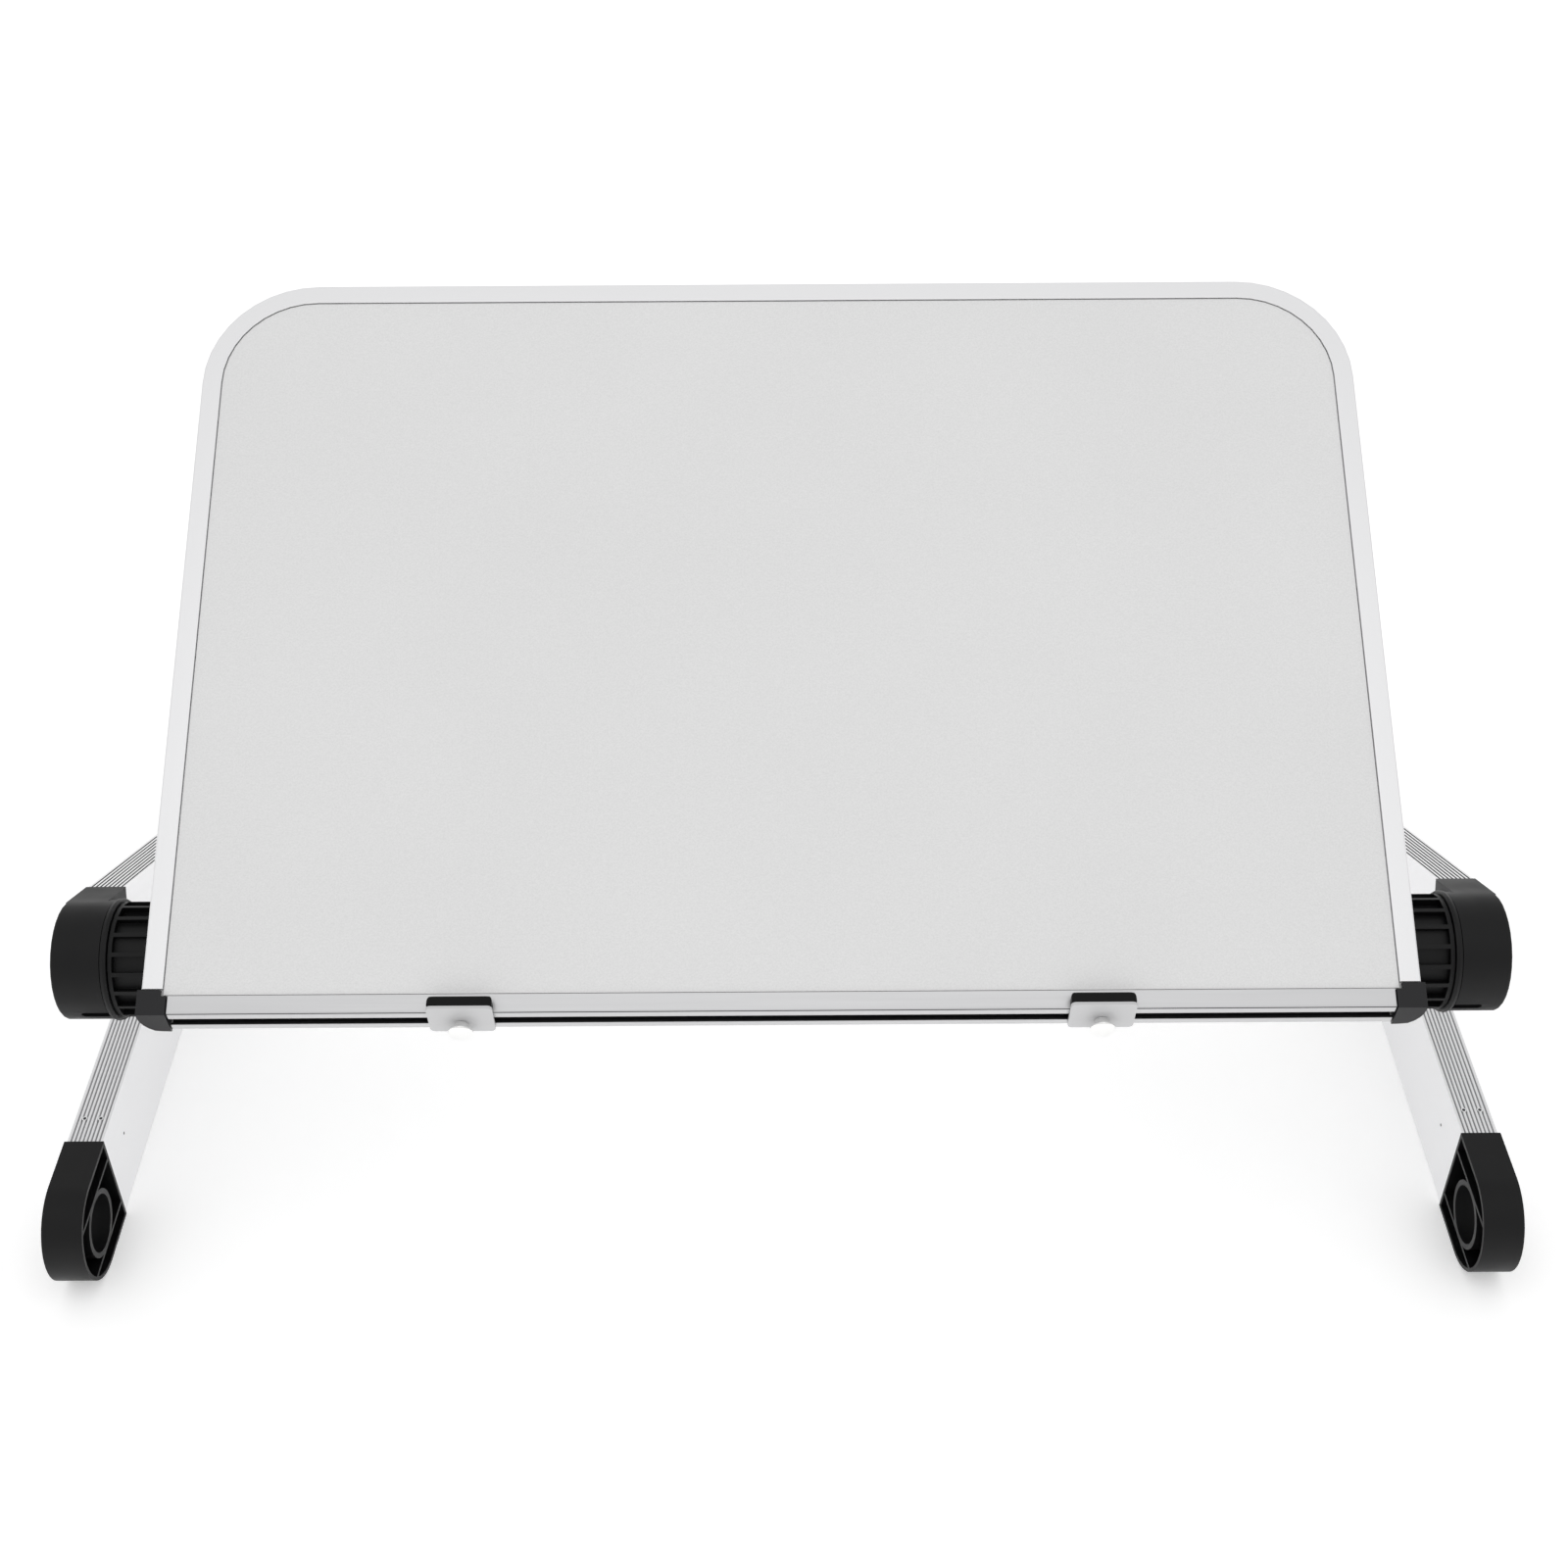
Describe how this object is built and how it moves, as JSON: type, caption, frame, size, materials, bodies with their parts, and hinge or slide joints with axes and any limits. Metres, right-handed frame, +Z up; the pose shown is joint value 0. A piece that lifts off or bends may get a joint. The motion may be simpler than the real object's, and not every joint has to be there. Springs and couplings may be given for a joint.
{
  "type": "portable drawing board",
  "caption": "Tilting rectangular board in an aluminium rail, with sliding edge stops, on side legs of hinged aluminium sections with push-button locking hubs and bored plastic feet.",
  "frame": {"origin": "on the floor, under the centre of the whole object", "axes": "+X to the right of the person at the board, +Y away from the person, +Z up"},
  "size_m": [0.5316, 0.2766, 0.2846],
  "materials": {
    "panel_laminate": "light grey laminate on fibreboard",
    "rail_aluminium": "satin anodised",
    "leg_aluminium": "satin anodised, finely grooved narrow faces",
    "cap_plastic": "moulded, matte",
    "hub_plastic": "moulded, satin",
    "button_plastic": "moulded, satin",
    "nylon_washer": "plain nylon",
    "gear_zinc": "die-cast zinc",
    "bolt_steel": "zinc plated",
    "spring_steel": "drawn wire",
    "screw_steel": "nickel plated",
    "stop_metal": "smooth grey coat",
    "pad_rubber": "moulded"
  },
  "bodies": {
    "tabletop": {"board_panel": "panel_laminate", "edge_frame": "rail_aluminium", "front_rail": "rail_aluminium", "left_corner_cap": "cap_plastic", "left_board_bracket": "hub_plastic", "left_bracket_screw_1": "screw_steel", "left_bracket_screw_2": "screw_steel", "left_bracket_screw_3": "screw_steel", "left_upper_hub_flange": "hub_plastic", "left_upper_axle_bolt": "bolt_steel", "left_upper_axle_nut": "bolt_steel", "left_upper_lock_spring": "spring_steel", "right_corner_cap": "cap_plastic", "right_board_bracket": "hub_plastic", "right_bracket_screw_1": "screw_steel", "right_bracket_screw_2": "screw_steel", "right_bracket_screw_3": "screw_steel", "right_upper_hub_flange": "hub_plastic", "right_upper_axle_bolt": "bolt_steel", "right_upper_axle_nut": "bolt_steel", "right_upper_lock_spring": "spring_steel"},
    "left_upper_leg": {"left_upper_leg_drum": "hub_plastic", "left_upper_leg_profile": "leg_aluminium", "left_upper_leg_end_fitting": "hub_plastic", "left_floor_hub_washer": "nylon_washer", "left_floor_axle_bolt": "bolt_steel", "left_floor_axle_nut": "bolt_steel", "left_floor_lock_spring": "spring_steel"},
    "left_lower_leg": {"left_lower_leg_drum": "hub_plastic", "left_lower_leg_profile": "leg_aluminium", "left_foot_cap": "hub_plastic"},
    "left_upper_gear": {"left_upper_lock_gear": "gear_zinc"},
    "left_upper_button": {"left_upper_push_button": "button_plastic"},
    "left_floor_gear": {"left_floor_lock_gear": "gear_zinc"},
    "left_floor_button": {"left_floor_push_button": "button_plastic"},
    "left_stop": {"left_stop_plate": "stop_metal", "left_stop_pad": "pad_rubber", "left_stop_nut": "gear_zinc"},
    "left_stop_thumb_screw": {"left_stop_screw": "screw_steel"},
    "right_upper_leg": {"right_upper_leg_drum": "hub_plastic", "right_upper_leg_profile": "leg_aluminium", "right_upper_leg_end_fitting": "hub_plastic", "right_floor_hub_washer": "nylon_washer", "right_floor_axle_bolt": "bolt_steel", "right_floor_axle_nut": "bolt_steel", "right_floor_lock_spring": "spring_steel"},
    "right_lower_leg": {"right_lower_leg_drum": "hub_plastic", "right_lower_leg_profile": "leg_aluminium", "right_foot_cap": "hub_plastic"},
    "right_upper_gear": {"right_upper_lock_gear": "gear_zinc"},
    "right_upper_button": {"right_upper_push_button": "button_plastic"},
    "right_floor_gear": {"right_floor_lock_gear": "gear_zinc"},
    "right_floor_button": {"right_floor_push_button": "button_plastic"},
    "right_stop": {"right_stop_plate": "stop_metal", "right_stop_pad": "pad_rubber", "right_stop_nut": "gear_zinc"},
    "right_stop_thumb_screw": {"right_stop_screw": "screw_steel"}
  },
  "joints": [
    {"name": "left_upper_hub_turn", "type": "hinge", "parent": "tabletop", "child": "left_upper_leg", "pos_m": [-0.2301, -0.08718, 0.12502], "axis": [1, 0, 0], "range_deg": [-121.2, 58.8]},
    {"name": "left_floor_hub_turn", "type": "hinge", "parent": "left_upper_leg", "child": "left_lower_leg", "pos_m": [-0.2506, 0.11775, 0.0206], "axis": [1, 0, 0], "range_deg": [-27, 153]},
    {"name": "left_upper_button_push", "type": "slide", "parent": "left_upper_leg", "child": "left_upper_button", "axis": [1, 0, 0], "range_m": [0, 0.003], "stiffness_N_per_m": 400, "springref_m": -0.005},
    {"name": "left_upper_gear_slide", "type": "slide", "parent": "tabletop", "child": "left_upper_gear", "axis": [1, 0, 0], "range_m": [0, 0.003], "deforming": ["left_upper_lock_spring"]},
    {"name": "left_floor_button_push", "type": "slide", "parent": "left_lower_leg", "child": "left_floor_button", "axis": [1, 0, 0], "range_m": [0, 0.003], "stiffness_N_per_m": 400, "springref_m": -0.005},
    {"name": "left_floor_gear_slide", "type": "slide", "parent": "left_upper_leg", "child": "left_floor_gear", "axis": [1, 0, 0], "range_m": [0, 0.003], "deforming": ["left_floor_lock_spring"]},
    {"name": "left_stop_slide", "type": "slide", "parent": "tabletop", "child": "left_stop", "axis": [1, 0, 0], "range_m": [-0.08, 0.09]},
    {"name": "left_stop_screw_turn", "type": "hinge", "parent": "left_stop", "child": "left_stop_thumb_screw", "pos_m": [-0.105, -0.12752, 0.13493], "axis": [0, -0.9751, -0.2215], "range_deg": [0, 360]},
    {"name": "right_upper_hub_turn", "type": "hinge", "parent": "tabletop", "child": "right_upper_leg", "pos_m": [0.2301, -0.08718, 0.12502], "axis": [1, 0, 0], "range_deg": [-121.2, 58.8]},
    {"name": "right_floor_hub_turn", "type": "hinge", "parent": "right_upper_leg", "child": "right_lower_leg", "pos_m": [0.2506, 0.11775, 0.0206], "axis": [1, 0, 0], "range_deg": [-27, 153]},
    {"name": "right_upper_button_push", "type": "slide", "parent": "right_upper_leg", "child": "right_upper_button", "axis": [-1, 0, 0], "range_m": [0, 0.003], "stiffness_N_per_m": 400, "springref_m": -0.005},
    {"name": "right_upper_gear_slide", "type": "slide", "parent": "tabletop", "child": "right_upper_gear", "axis": [-1, 0, 0], "range_m": [0, 0.003], "deforming": ["right_upper_lock_spring"]},
    {"name": "right_floor_button_push", "type": "slide", "parent": "right_lower_leg", "child": "right_floor_button", "axis": [-1, 0, 0], "range_m": [0, 0.003], "stiffness_N_per_m": 400, "springref_m": -0.005},
    {"name": "right_floor_gear_slide", "type": "slide", "parent": "right_upper_leg", "child": "right_floor_gear", "axis": [-1, 0, 0], "range_m": [0, 0.003], "deforming": ["right_floor_lock_spring"]},
    {"name": "right_stop_slide", "type": "slide", "parent": "tabletop", "child": "right_stop", "axis": [1, 0, 0], "range_m": [-0.09, 0.08]},
    {"name": "right_stop_screw_turn", "type": "hinge", "parent": "right_stop", "child": "right_stop_thumb_screw", "pos_m": [0.105, -0.12752, 0.13493], "axis": [0, -0.9751, -0.2215], "range_deg": [0, 360]}
  ],
  "couplings": [
    {"joint": "left_upper_gear_slide", "follows": "left_upper_button_push", "ratio": 1},
    {"joint": "left_floor_gear_slide", "follows": "left_floor_button_push", "ratio": 1},
    {"joint": "right_upper_gear_slide", "follows": "right_upper_button_push", "ratio": 1},
    {"joint": "right_floor_gear_slide", "follows": "right_floor_button_push", "ratio": 1}
  ]
}
